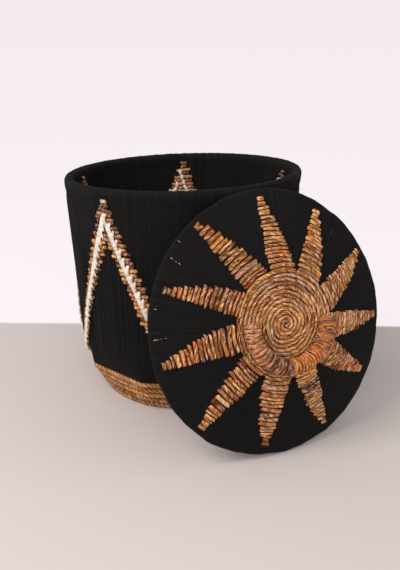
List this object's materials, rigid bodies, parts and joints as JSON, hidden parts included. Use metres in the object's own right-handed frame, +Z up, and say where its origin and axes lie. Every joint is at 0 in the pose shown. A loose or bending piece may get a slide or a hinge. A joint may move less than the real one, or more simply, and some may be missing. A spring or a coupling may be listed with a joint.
{
  "type": "lidded basket",
  "caption": "Tapered round rope basket on a coiled foot, with a domed star-patterned lid taken off and leaning on it, and a swinging rope handle.",
  "frame": {"origin": "middle of the basket's flat underside, on the floor", "axes": "+Z up along the basket's axis, -Y towards the viewer of the picture, +X to the viewer's right"},
  "size_m": [0.4568, 0.4674, 0.3475],
  "materials": {
    "black_yarn": "matte spun yarn",
    "abaca_rope": "natural two-ply rope with a slight sheen",
    "foot_rope": "coarse natural rope",
    "white_yarn": "matte spun yarn",
    "handle_twine": "dyed twine bands",
    "lashing_twine": "natural twine",
    "wire": "plain drawn wire"
  },
  "bodies": {
    "basket": {"base_disc": "foot_rope", "base_ring": "wire", "foot_coil": "foot_rope", "inner_peak_1": "abaca_rope", "inner_peak_2": "abaca_rope", "inner_peak_3": "abaca_rope", "inner_peak_4": "abaca_rope", "inner_peak_5": "abaca_rope", "outer_peak_1": "abaca_rope", "outer_peak_2": "abaca_rope", "outer_peak_3": "abaca_rope", "outer_peak_4": "abaca_rope", "outer_peak_5": "abaca_rope", "rim_hoop": "wire", "rope_wall": "abaca_rope", "stitch_1": "white_yarn", "stitch_2": "white_yarn", "stitch_3": "white_yarn", "stitch_4": "white_yarn", "stitch_5": "white_yarn", "upright_1": "wire", "upright_2": "wire", "upright_3": "wire", "upright_4": "wire", "upright_5": "wire", "upright_6": "wire", "upright_7": "wire", "upright_8": "wire", "upright_9": "wire", "waist_hoop": "wire", "yarn_cover": "black_yarn"},
    "lid": {"left_lashing": "lashing_twine", "lid_hoop": "wire", "lid_rope_disc": "abaca_rope", "lid_yarn_cover": "black_yarn", "right_lashing": "lashing_twine", "spiral_medallion": "abaca_rope", "star_ray_1": "abaca_rope", "star_ray_10": "abaca_rope", "star_ray_11": "abaca_rope", "star_ray_2": "abaca_rope", "star_ray_3": "abaca_rope", "star_ray_4": "abaca_rope", "star_ray_5": "abaca_rope", "star_ray_6": "abaca_rope", "star_ray_7": "abaca_rope", "star_ray_8": "abaca_rope", "star_ray_9": "abaca_rope"},
    "handle": {"handle_core": "handle_twine", "handle_wrap": "handle_twine"}
  },
  "joints": [
    {"name": "lid_lift", "type": "slide", "parent": "basket", "child": "lid", "axis": [0, 0, 1], "range_m": [0, 0.36]},
    {"name": "handle_swing", "type": "hinge", "parent": "lid", "child": "handle", "pos_m": [0.14464, -0.23362, 0.18273], "axis": [-0.89, -0.4523, 0.0571], "range_deg": [0, 176]}
  ]
}
